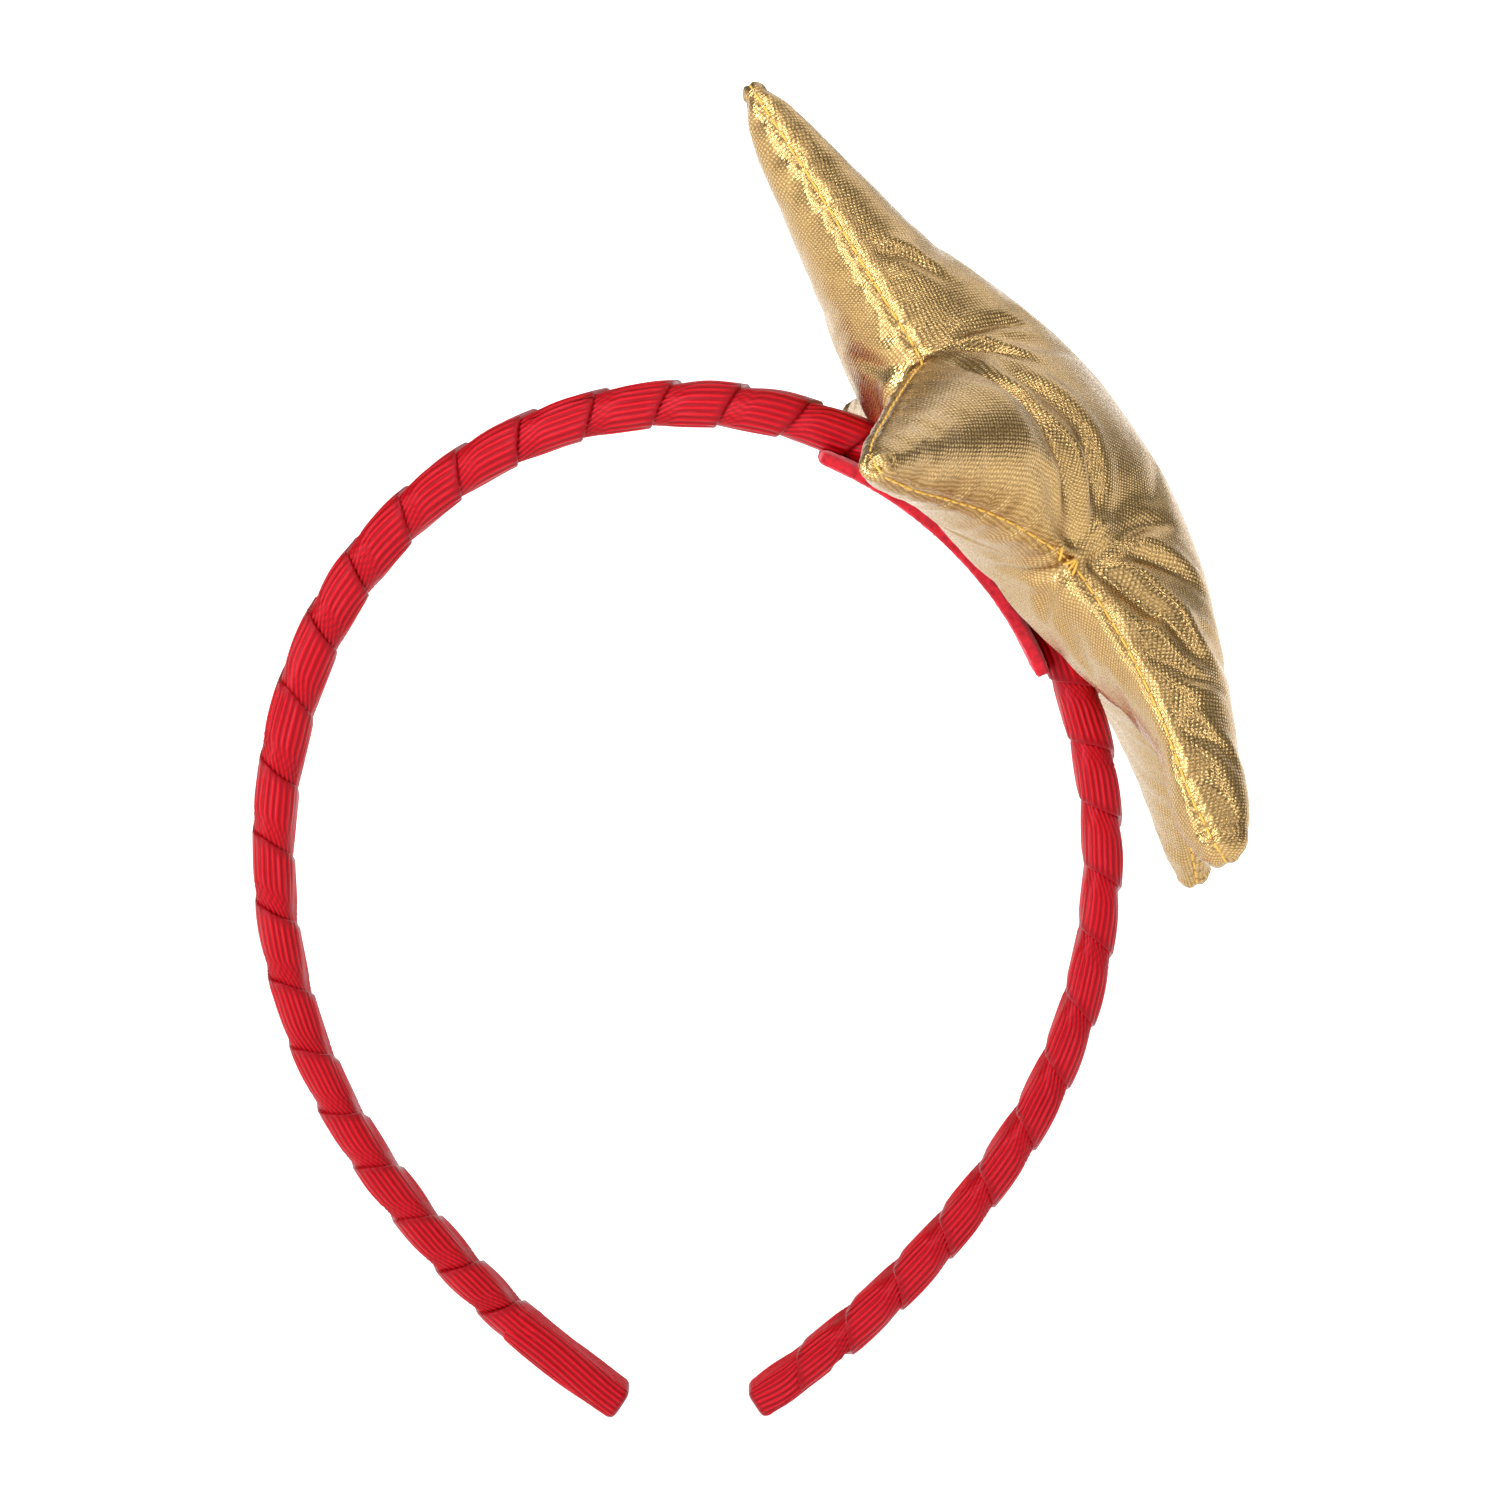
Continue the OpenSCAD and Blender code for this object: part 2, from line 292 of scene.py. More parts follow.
# ---------------------------------------------------------------- the star
LEAN = math.radians(59)
SLIDE, OFF = 12.5, 61.2
AX = np.array([math.cos(LEAN), 0, -math.sin(LEAN)])
UP = np.array([math.sin(LEAN), 0, math.cos(LEAN)])


def to_row(p):
    """Star space: v down the star from its centre, u across, w out of its face."""
    p = np.asarray(p, float)
    return (p[..., 0:1] - SLIDE) * AX + p[..., 1:2] * np.array([0, 1.0, 0]) + (p[..., 2:3] + OFF) * UP


def flat_star(radius, ratio, per_edge):
    """The cloth's outline: straight sides, each tip cut a little blunt."""
    out = []
    for k in range(5):
        a0 = math.radians(36 + 72 * k)
        tip = np.array([math.cos(a0), math.sin(a0)]) * radius
        inn = np.array([math.cos(a0 + math.radians(36)), math.sin(a0 + math.radians(36))]) * radius * ratio
        pre = np.array([math.cos(a0 - math.radians(36)), math.sin(a0 - math.radians(36))]) * radius * ratio
        blunt = 0.075
        p0 = tip + (pre - tip) * blunt
        p1 = tip + (inn - tip) * blunt
        mid = tip + ((p0 + p1) / 2 - tip) * 0.45
        out += [p0, mid]
        for i in range(per_edge):
            out.append(p1 + (inn - p1) * i / per_edge)
        nxt_a = a0 + math.radians(72)
        ntip = np.array([math.cos(nxt_a), math.sin(nxt_a)]) * radius
        q0 = ntip + (inn - ntip) * blunt
        for i in range(per_edge):
            out.append(inn + (q0 - inn) * i / per_edge)
    return np.array(out)


def star_cloth():
    """Two flat star panels sewn at the edge and blown up until they wrinkle at the seam. Returns points (star space, mm, unfitted), faces, the flat pattern and the rim."""
    R = 0.80
    rim = flat_star(R, 0.47, 24)
    # a grid inside
    h = 0.0221
    xs = np.arange(-R, R, h)
    grid = []
    for i, y in enumerate(np.arange(-R, R, h * 0.866)):
        for x in xs:
            grid.append((x + (h / 2 if i % 2 else 0), y))
    grid = np.array(grid) + rng.uniform(-0.0015, 0.0015, (len(grid), 2))
    a, b = rim, np.roll(rim, -1, 0)

    def inside(p):
        c = np.zeros(len(p), bool)
        for (x0, y0), (x1, y1) in zip(a, b):
            cond = (y0 > p[:, 1]) != (y1 > p[:, 1])
            with np.errstate(divide="ignore", invalid="ignore"):
                xi = (x1 - x0) * (p[:, 1] - y0) / (y1 - y0) + x0
            c ^= cond & (p[:, 0] < xi)
        return c

    def edge_distance(p):
        best = np.full(len(p), 9.0)
        for q0, q1 in zip(a, b):
            d = q1 - q0
            t = np.clip(((p - q0) @ d) / (d @ d), 0, 1)
            best = np.minimum(best, np.hypot(*(p - q0 - t[:, None] * d).T))
        return best

    grid = grid[inside(grid)]
    dist = edge_distance(grid)
    keep = dist > h * 0.55
    grid, dist = grid[keep], dist[keep]
    nr = len(rim)
    allp = np.concatenate([rim, grid])
    edges = [(i, (i + 1) % nr) for i in range(nr)]
    v2, _, f2, *_ = delaunay_2d_cdt([Vector(p) for p in allp.tolist()], edges, [], 1, 1e-7)
    v2 = np.array([tuple(v) for v in v2])
    n = len(v2)
    f2 = [tuple(f) for f in f2]
    # the rim may be renumbered: find it again
    rim_ids = set()
    from_edge = {}
    for f in f2:
        for i in range(len(f)):
            e = tuple(sorted((f[i], f[(i + 1) % len(f)])))
            from_edge[e] = from_edge.get(e, 0) + 1
    loop_edges = [e for e, c in from_edge.items() if c == 1]
    for e in loop_edges:
        rim_ids.update(e)
    near = np.zeros(n)
    d_all = edge_distance(v2)
    back_of = {}
    pts = [(x, y, 0.004 + 0.03 * min(1, dd / 0.1) if i not in rim_ids else 0.0) for i, ((x, y), dd) in enumerate(zip(v2, d_all))]
    for i, ((x, y), dd) in enumerate(zip(v2, d_all)):
        if i in rim_ids:
            back_of[i] = i
        else:
            back_of[i] = len(pts)
            pts.append((x, y, -0.004 - 0.03 * min(1, dd / 0.1)))
    faces = []
    for f in f2:
        # counter-clockwise seen from +w
        area = 0
        for i in range(len(f)):
            p, q = v2[f[i]], v2[f[(i + 1) % len(f)]]
            area += p[0] * q[1] - q[0] * p[1]
        g = f if area > 0 else f[::-1]
        faces.append(g)
        faces.append(tuple(back_of[i] for i in g)[::-1])
    pts = np.array(pts)
    flat = pts[:, :2].copy()
    front = np.zeros(len(pts))
    front[:n] = 1
    for i in rim_ids:
        front[i] = 0.5
    me = bpy.data.meshes.new("star_sim")
    me.from_pydata(pts.tolist(), [], faces)
    me.update()
    ob = bpy.data.objects.new("star_sim", me)
    bpy.context.scene.collection.objects.link(ob)
    mod = ob.modifiers.new("Cloth", "CLOTH")
    st = mod.settings
    st.quality = 6
    st.mass = 0.12
    st.air_damping = 4
    st.tension_stiffness = 45
    st.compression_stiffness = 25
    st.shear_stiffness = 12
    st.bending_stiffness = 0.06
    st.tension_damping = 8
    st.compression_damping = 8
    st.shear_damping = 8
    st.bending_damping = 0.6
    st.use_pressure = True
    st.uniform_pressure_force = 9.0
    st.effector_weights.gravity = 0
    mod.collision_settings.use_collision = False
    mod.collision_settings.use_self_collision = False
    sc = bpy.context.scene
    sc.frame_start, sc.frame_end = 1, 36
    mod.point_cache.frame_start, mod.point_cache.frame_end = 1, 36
    for f in range(1, 37):
        sc.frame_set(f)
    dg = bpy.context.evaluated_depsgraph_get()
    ev = ob.evaluated_get(dg)
    out = np.zeros(len(pts) * 3, np.float32)
    ev.data.vertices.foreach_get("co", out)
    out = out.reshape(-1, 3).astype(float)
    bpy.data.objects.remove(ob)
    bpy.data.meshes.remove(me)
    sc.frame_set(1)
    # order the rim into a loop
    nxt = {}
    for e in loop_edges:
        nxt.setdefault(e[0], []).append(e[1])
        nxt.setdefault(e[1], []).append(e[0])
    loop = [loop_edges[0][0]]
    prev = None
    while True:
        cand = [q for q in nxt[loop[-1]] if q != prev]
        prev = loop[-1]
        if cand[0] == loop[0] and len(loop) > 2:
            break
        loop.append(cand[0])
        if len(loop) > len(rim_ids):
            break
    return out * 100.0, faces, flat * 100.0, front, np.array(loop)


def tps(src, dst, reg=0.0):
    """Thin plate through dst at src; returns a function of 2D points."""
    src = np.asarray(src, float)
    dst = np.asarray(dst, float)
    n = len(src)

    def k(r2):
        return np.where(r2 > 1e-9, 0.5 * r2 * np.log(np.maximum(r2, 1e-12)), 0)

    K = k(((src[:, None] - src[None]) ** 2).sum(-1)) + reg * np.eye(n)
    P = np.c_[np.ones(n), src]
    A = np.block([[K, P], [P.T, np.zeros((3, 3))]])
    sol = np.linalg.solve(A, np.concatenate([dst, np.zeros((3,) + dst.shape[1:])]))

    def f(p):
        p = np.asarray(p, float)
        r = k(((p[:, None] - src[None]) ** 2).sum(-1))
        return r @ sol[:n] + np.c_[np.ones(len(p)), p] @ sol[n:]

    return f


# Star space targets: five tips, five corners, and places along the seam between them
TIPS = {36: (65, 43, -4), 108: (-22, 68.5, -11.5), 180: (-72.5, 0, -0.2), 252: (-19.5, -69, -12.4), 324: (53.5, -43, 1.0)}
CORNERS = {72: (10, 31, 2.5), 144: (-26.3, 19, 0.8), 216: (-26.3, -19, 0.8), 288: (8, -31.2, 4.1), 0: (33.5, 1, 2.5)}
# between a tip and a corner: the share of the way along, and where the seam lies
ALONG = {
    (180, 216): [(0.5, (-50.0, -10.6, 0.5))],
    (180, 144): [(0.5, (-50.0, 10.6, 0.5))],
    (252, 216): [(0.5, (-24.6, -44.5, -6.2))],
    (252, 288): [(0.3, (-11.6, -56.5, -8.6)), (0.65, (-3.2, -42.0, -2.0))],
    (324, 288): [(0.35, (39.0, -39.6, 2.5)), (0.7, (22.0, -35.5, 4.2))],
    (324, 0): [(0.5, (44.0, -21.0, 2.6))],
    (36, 0): [(0.5, (50.0, 22.0, 0.4))],
    (36, 72): [(0.5, (37.0, 38.5, -1.0))],
    (108, 72): [(0.5, (-5.5, 49.5, -4.0))],
    (108, 144): [(0.5, (-25.0, 44.0, -5.6))],
}
BED_R = 61.3 + 0.25


def bed(v):
    return np.sqrt(np.maximum(1, BED_R ** 2 - (v - SLIDE) ** 2)) - OFF


def laplacian(p, faces, ids):
    """Cotangent stiffness and lumped area for the flat triangles, as full matrices."""
    n = len(ids)
    where = {int(i): k for k, i in enumerate(ids)}
    tri = np.array([[where[i] for i in f] for f in faces])
    K = np.zeros((n, n))
    area = np.zeros(n)
    a, b, c = p[tri[:, 0]], p[tri[:, 1]], p[tri[:, 2]]
    cr = (b[:, 0] - a[:, 0]) * (c[:, 1] - a[:, 1]) - (b[:, 1] - a[:, 1]) * (c[:, 0] - a[:, 0])
    cr = np.maximum(np.abs(cr), 0.05)
    for i in range(3):
        np.add.at(area, tri[:, i], cr / 6)
    for i in range(3):
        o, q, r = tri[:, i], tri[:, (i + 1) % 3], tri[:, (i + 2) % 3]
        d1, d2 = p[q] - p[o], p[r] - p[o]
        w = np.clip(0.5 * (d1 * d2).sum(1) / cr, 0.02, 3)
        np.add.at(K, (q, r), -w)
        np.add.at(K, (r, q), -w)
        np.add.at(K, (q, q), w)
        np.add.at(K, (r, r), w)
    return K, area


# the root of a side arm
ROOT = [(-26, -19.5), (-22, -26.5), (-16, -31), (-9, -33.5), (-2, -33.5), (4, -32), (8, -31)]


def polyline_field(p, line):
    """Distance from points to a line through the given places, signed by side, and how far along, 0 to 1."""
    line = np.asarray(line, float)
    t = np.linspace(0, 1, len(line))
    tt = np.linspace(0, 1, 40)
    # a smooth curve through the places
    cs = np.array([np.interp(tt, t, line[:, k]) for k in range(line.shape[1])]).T
    for _ in range(6):
        cs[1:-1] = 0.25 * cs[:-2] + 0.5 * cs[1:-1] + 0.25 * cs[2:]
    best = np.full(len(p), 1e9)
    side = np.zeros(len(p))
    along = np.zeros(len(p))
    for i in range(len(cs) - 1):
        a, b = cs[i], cs[i + 1]
        d = b - a
        L2 = d @ d
        q = np.clip(((p - a) @ d) / L2, 0, 1)
        r = p - a - q[:, None] * d
        dist = np.sqrt((r ** 2).sum(1))
        m = dist < best
        best = np.where(m, dist, best)
        s = np.sign(d[0] * r[:, 1] - d[1] * r[:, 0])
        side = np.where(m, s, side)
        along = np.where(m, (i + q) / (len(cs) - 1), along)
    return best * np.where(side == 0, 1, side), along


def shape_star():
    out, faces, flat, front, loop = star_cloth()
    ang = np.degrees(np.arctan2(flat[:, 1], flat[:, 0])) % 360
    rad = np.hypot(flat[:, 0], flat[:, 1])
    rim_ids = loop
    src, dst, wz, marks = [], [], [], {}
    for table, far in ((TIPS, True), (CORNERS, False)):
        for a0, target in table.items():
            d = np.abs((ang[rim_ids] - a0 + 180) % 360 - 180)
            close = np.nonzero(d < 6)[0]
            k = close[np.argmax(rad[rim_ids[close]])] if far else close[np.argmin(rad[rim_ids[close]])]
            marks[a0] = int(k)
            i = rim_ids[k]
            src.append(out[i, :2])
            dst.append(target[:2])
            wz.append(target[2])
    nl = len(loop)
    for (a0, a1), places in ALONG.items():
        k0, k1 = marks[a0], marks[a1]
        step = (k1 - k0 + nl // 2) % nl - nl // 2
        for f, target in places:
            i = rim_ids[(k0 + int(round(step * f))) % nl]
            src.append(out[i, :2])
            dst.append(target[:2])
            wz.append(target[2])
    src.append((0, 0))
    dst.append((0, 0))
    wz.append(4.2)
    vu = tps(src, dst)(out[:, :2])
    seam = tps(dst, np.array(wz))(vu)
    v, u = vu[:, 0], vu[:, 1]
    z = out[:, 2]
    final = np.zeros(len(v))
    nfront = front > 0.45
    nback = front < 0.55
    fset = [f for f in faces if all(front[list(f)] > 0.45)]
    bset = [f for f in faces if all(front[list(f)] < 0.55)]
    on_rim = np.zeros(len(v), bool)
    on_rim[loop] = True
    # height along the middle of the front, and of the back, seen from the side
    want_v = np.array([-72.5, -62.8, -55, -43.5, -33.8, -23, -13.3, -2.4, 8.4, 18.5, 26.4, 37.2, 43.8, 48.8, 56, 65])
    want_w = np.array([1.0, 4.6, 7.0, 9.6, 13.4, 17.9, 20.4, 21.6, 21.5, 19.9, 18.0, 13.8, 11.1, 8.6, 5.0, 0.5])
    deep_v = np.array([-72.5, -63, -54.4, -46.5, -37.7, -30.6, -15, 0, 9.3, 17.4, 23.9, 29.4, 33.5, 44, 54, 65])
    deep_w = np.array([0.6, 5.2, 6.5, 8.2, 10.0, 11.4, 13.6, 13.6, 12.6, 11.0, 8.0, 4.8, 3.4, 2.8, 2.2, 1.0])
    for mask, tris, sign in ((nfront, fset, 1), (nback, bset, -1)):
        ids = np.nonzero(mask)[0]
        p = vu[ids]
        K, area = laplacian(p, tris, ids)
        free = np.nonzero(~on_rim[ids])[0]
        phi = np.zeros(len(ids))
        phi[free] = np.linalg.solve(K[np.ix_(free, free)], area[free])
        round_h = np.sqrt(np.maximum(0, 2 * phi))
        # fine creases from the blown-up cloth
        zz = sign * z[ids]
        lam = 30.0
        A = np.diag(area) + lam * K
        low = np.linalg.solve(A, area * zz)
        crease = np.clip(zz - low, -2.2, 2.2)
        crease[on_rim[ids]] = 0
        vv, uu = p[:, 0], p[:, 1]
        bins = np.linspace(-72, 64, 47)
        k = []
        for b in bins:
            m = np.abs(vv - b) < 2.6
            if not m.any():
                k.append(0.8)
                continue
            if sign > 0:
                j = np.nonzero(m)[0][np.argmax(round_h[m] + 0.6 * seam[ids][m])]
                k.append((np.interp(b, want_v, want_w) - seam[ids][j]) / max(round_h[j], 1.0))
            else:
                k.append(np.interp(b, deep_v, deep_w) / max(round_h[m].max(), 1.0))
        k = np.clip(np.array(k), 0.15, 1.25)
        k = np.convolve(np.r_[k[:1], k[:1], k, k[-1:], k[-1:]], np.ones(5) / 5, mode="valid")
        kk = np.interp(vv, bins, k)
        side_arm = smooth(24, 42, np.abs(uu)) * (1 - smooth(-4, 12, vv))
        kk = kk * (1 - side_arm) + (0.98 if sign > 0 else 0.62) * side_arm
        h = round_h * kk
        # pulled in where it is sewn shut by hand
        if sign > 0:
            h = h * (1 - 0.30 * np.exp(-((vv - 8) ** 2 + (uu + 31.2) ** 2) / 90.0))
            dn, _ = polyline_field(p, ROOT)
            h = h * (1 - 0.24 * np.exp(-(dn / 6.0) ** 2))
            dn, _ = polyline_field(p, [(a, -b) for a, b in ROOT])
            h = h * (1 - 0.24 * np.exp(-(dn / 6.0) ** 2))
        w = seam[ids] + sign * (h + 0.36 * crease * smooth(0.0, 3.0, round_h))
        if sign < 0:
            side = 1 - smooth(9.5, 16, np.abs(uu))
            floor = bed(vv)
            w = np.where(w < floor, w + (floor - w) * side, w)
        keep = on_rim[ids]
        w[keep] = seam[ids][keep]
        final[ids] = w
    return np.stack([v, u, final], 1), faces, flat, front, loop


def subdivide(p, faces, extra, levels):
    """Catmull-Clark on plain arrays, through a Subdivision modifier that is used and thrown away."""
    me = bpy.data.meshes.new("work")
    me.from_pydata(np.asarray(p).tolist(), [], [tuple(map(int, f)) for f in faces])
    for n, (val, kind) in extra.items():
        put(me, n, val, kind)
    ob = bpy.data.objects.new("work", me)
    bpy.context.scene.collection.objects.link(ob)
    md = ob.modifiers.new("s", "SUBSURF")
    md.levels = md.render_levels = levels
    dg = bpy.context.evaluated_depsgraph_get()
    res = bpy.data.meshes.new_from_object(ob.evaluated_get(dg), depsgraph=dg)
    bpy.data.objects.remove(ob)
    bpy.data.meshes.remove(me)
    return res


def coords(me):
    c = np.zeros(len(me.vertices) * 3, np.float32)
    me.vertices.foreach_get("co", c)
    return c.reshape(-1, 3).astype(float)


def normals(me):
    c = np.zeros(len(me.vertices) * 3, np.float32)
    me.vertices.foreach_get("normal", c)
    return c.reshape(-1, 3).astype(float)


def read(me, name, kind="FLOAT"):
    at = me.attributes[name]
    k = 1 if kind == "FLOAT" else 3
    c = np.zeros(len(at.data) * k, np.float32)
    at.data.foreach_get("value" if k == 1 else "vector", c)
    return c.astype(float) if k == 1 else c.reshape(-1, 3).astype(float)


# Creases in the front: places in star space (v, u), depth of the valley, its width, the rise on its left and on its right, and how far off they are
FOLDS = [
    (ROOT, 0.9, 1.2, 1.3, 0.0, 2.9, (0.10, 0.92)),
    ([(-23, -20), (-15, -25), (-6, -27), (2, -28.5), (7, -30)], 0.7, 1.2, 0.5, 0.0, 2.8, (0.25, 0.9)),
    ([(-26, -18), (-22, -17), (-16, -19)], 0.7, 0.9, 0.4, 0.3, 1.9, (0.15, 0.5)),
    ([(-27, -17), (-25, -11), (-21, -7)], 0.6, 0.9, 0.3, 0.3, 1.9, (0.15, 0.5)),
    ([(8, -31), (12, -27), (18, -23.5), (25, -20)], 0.9, 1.1, 0.7, 0.2, 2.4, (0.10, 0.6)),
    ([(8, -31), (14, -31), (21, -32), (28, -32), (35, -27)], 1.3, 1.3, 0.9, 0.6, 2.8, (0.10, 0.75)),
    ([(19, -34.5), (24, -35), (30, -34), (36, -28)], 1.0, 1.0, 0.8, 0.2, 2.3, (0.15, 0.7)),
    ([(9, -30), (9, -23), (13, -16)], 0.5, 1.0, 0.3, 0.3, 2.1, (0.15, 0.5)),
    ([(8, -31), (2, -34.5), (-5, -39), (-10, -44)], 0.5, 1.0, 0.1, 0.3, 2.1, (0.15, 0.5)),
    ([(-43, -12.6), (-40, -11), (-36, -11), (-31, -11)], 0.5, 0.9, 0.35, 0.15, 1.9, (0.12, 0.5)),
    ([(34, -38), (40, -37), (46, -37)], 0.4, 0.9, 0.2, 0.1, 1.9, (0.1, 0.6)),
]
BACK_FOLDS = [
    ([(8, -31), (5, -27), (3, -21)], 0.6, 1.1, 0.3, 0.3, 2.1, (0.02, 0.5)),
    ([(8, -31), (11, -27), (16, -22)], 0.5, 1.1, 0.3, 0.3, 2.1, (0.02, 0.5)),
    ([(-26, -19), (-22, -16), (-17, -14)], 0.8, 1.1, 0.4, 0.4, 2.1, (0.02, 0.5)),
    ([(-26, -19), (-29, -14), (-33, -8)], 0.5, 1.1, 0.3, 0.3, 2.1, (0.02, 0.5)),
]
TIP_R = {36: (2.9, 0.85), 108: (2.6, 0.9), 180: (2.3, 0.75), 252: (2.9, 0.95), 324: (4.2, 1.0)}


def round_tip(q, tip, r_tip, thick):
    """Turn a drawn-out point of the star into a blunt round end of the same reach, thick times as deep as it is wide."""
    T = np.asarray(tip, float)
    near = np.linalg.norm(q - T, axis=1)
    ring = (near > 9) & (near < 14)
    e = q[ring].mean(0) - T
    e[2] = q[ring][:, 2].mean() - T[2]
    e /= np.linalg.norm(e)
    d = (q - T) @ e
    sel = np.nonzero((near < 36) & (d < 32))[0]
    tip0 = d[sel].min()
    d = d - tip0
    base = T + e * tip0
    o = q - base - d[:, None] * e
    sdir = np.cross([0, 0, 1.0], e)
    sdir /= np.linalg.norm(sdir)
    bdir = np.cross(e, sdir)
    oa, ob = o @ sdir, o @ bdir
    bins = np.arange(0, 32, 0.4)

    def widest(x, sign):
        R = np.array([(sign * x[sel])[np.abs(d[sel] - b) < 0.5].max(initial=0.0) for b in bins])
        return np.maximum.accumulate(np.maximum(R, 0.02))

    Ra = np.maximum(widest(oa, 1), widest(oa, -1))
    Bp, Bm = widest(ob, 1), widest(ob, -1)
    k0 = int(np.argmax(Ra >= r_tip))
    d0 = max(bins[k0], 0.8)
    out = q.copy()
    dd = d[sel]
    inner = dd < d0
    th = (1 - np.clip(dd / d0, 0, 1)) * math.pi / 2
    fa = np.clip(Ra[k0] / np.interp(dd, bins, Ra), 1, 20)
    goal = thick * r_tip
    up = ob[sel] > 0
    B0 = np.where(up, Bp[k0], Bm[k0])
    Bd = np.where(up, np.interp(dd, bins, Bp), np.interp(dd, bins, Bm))
    B1 = np.maximum(B0, goal)
    fb_in = np.clip(B1 / np.maximum(Bd, 0.02), 0.5, 20)
    fb_out = 1 + (np.clip(B1 / np.maximum(B0, 0.1), 1, 6) - 1) * (1 - smooth(d0, d0 + 13, dd))
    oo_in = (oa[sel] * fa)[:, None] * sdir + (ob[sel] * fb_in)[:, None] * bdir
    cap = T + e * r_tip + oo_in * np.cos(th)[:, None] - e * (np.sin(th) * r_tip)[:, None]
    slide = (d0 - r_tip) * (1 - smooth(d0, d0 + 18, dd))
    rest = base + e * (dd - slide - tip0 * (1 - smooth(d0, d0 + 18, dd)))[:, None] + oa[sel][:, None] * sdir + (ob[sel] * fb_out)[:, None] * bdir
    out[sel] = np.where(inner[:, None], cap, rest)
    return out, T + e * r_tip


def star_piece():
    p, faces, flat, front, loop = shape_star()
    me = subdivide(p, faces, {"flat": (np.c_[flat, front * 50], "FLOAT_VECTOR"), "panel": (front, "FLOAT")}, 2)
    q = coords(me)
    panel = read(me, "panel")
    # the fine mesh's own rim
    rim_ids = np.array([int(np.argmin(((q - r) ** 2).sum(1) + 50 * (panel - 0.5) ** 2)) for r in p[loop]])
    ends = []
    for a0, (r, k) in TIP_R.items():
        q, middle = round_tip(q, TIPS[a0], r, k)
        ends.append((np.array(TIPS[a0], float), middle))
    me.vertices.foreach_set("co", q.astype(np.float32).ravel())
    me.update()
    nrm = normals(me)
    for T, middle in ends:
        close = np.linalg.norm(q - T, axis=1) < 1.4
        r = q[close] - middle
        nrm[close] = r / (np.linalg.norm(r, axis=1)[:, None] + 1e-9)
    rim = q[rim_ids]
    # distance to the seam and place along it
    best = np.full(len(q), 99.0)
    run = np.zeros(len(q))
    cum = 0.0
    for a, b in zip(rim, np.roll(rim, -1, 0)):
        d = b - a
        L = math.sqrt(d @ d)
        if L < 1e-6:
            continue
        tt = np.clip(((q - a) @ d) / (L * L), 0, 1)
        dist = np.sqrt((((q - a) - tt[:, None] * d) ** 2).sum(1))
        m = dist < best
        run = np.where(m, cum + tt * L, run)
        best = np.where(m, dist, best)
        cum += L
    move = np.zeros(len(q))
    # puckers that run in from the seam
    g = np.random.default_rng(11)
    for wl, amp, reach in ((5.3, 0.12, 5.0), (8.1, 0.16, 8.0), (3.3, 0.09, 2.6)):
        ph = g.uniform(0, 6.28)
        slow = np.sin(run / 23.0 + ph) * 0.5 + np.sin(run / 11.0 + 2 * ph) * 0.4
        move += amp * (0.7 + 0.6 * slow) * np.sin(2 * math.pi * run / wl + 2.2 * slow + ph) * np.exp(-best / reach) * smooth(0.3, 2.2, best)
    # the turned seam sits in a groove between two soft ridges
    move += -0.52 * np.exp(-(best / 0.62) ** 2) + 0.16 * np.exp(-((best - 1.6) / 0.7) ** 2)
    fr = smooth(0.5, 0.62, panel)
    for table, share in ((FOLDS, fr), (BACK_FOLDS, 1 - smooth(0.38, 0.5, panel))):
        for line, depth, wide, left, right, off, (f0, f1) in table:
            d, along = polyline_field(q[:, :2], line)
            fade = smooth(-0.005, f0 + 0.02, along) * (1 - smooth(f1, 0.999, along)) * smooth(0.4, 2.6, best)
            move += share * fade * (-depth * np.exp(-(d / wide) ** 2) + left * np.exp(-((d - off) / (wide * 1.3)) ** 2) + right * np.exp(-((d + off) / (wide * 1.3)) ** 2))
    # the folded, twisted end of the arm that faces -Y
    T = np.array(TIPS[252], float)
    near = np.linalg.norm(q - T, axis=1)
    e = q[(near > 8) & (near < 13)].mean(0) - T
    e /= np.linalg.norm(e)
    d = (q - T) @ e
    o = q - T - d[:, None] * e
    rho = np.linalg.norm(o, axis=1)
    s1 = np.cross([0, 0, 1.0], e)
    s1 /= np.linalg.norm(s1)
    turn = (np.arctan2(o @ np.cross(e, s1), o @ s1) + math.pi + 0.8) % (2 * math.pi)
    groove = 0.7 + 1.75 * turn / (2 * math.pi)
    on_end = (1 - smooth(2.2, 3.4, d)) * (near < 9)
    move += on_end * (-0.55 * np.exp(-((rho - groove) / 0.38) ** 2) + 0.32 * np.exp(-((rho - groove + 0.75) / 0.45) ** 2) + 0.25 * np.exp(-((rho - groove - 0.7) / 0.45) ** 2))
    q = q + nrm * move[:, None]
    me.vertices.foreach_set("co", (to_row(q) * MM).astype(np.float32).ravel())
    put(me, "seam", best)
    me.polygons.foreach_set("use_smooth", np.ones(len(me.polygons), bool))
    me.update()
    me.name = "star"
    ob = bpy.data.objects.new("star", me)
    bpy.context.scene.collection.objects.link(ob)
    return ob, q[rim_ids], nrm[rim_ids]


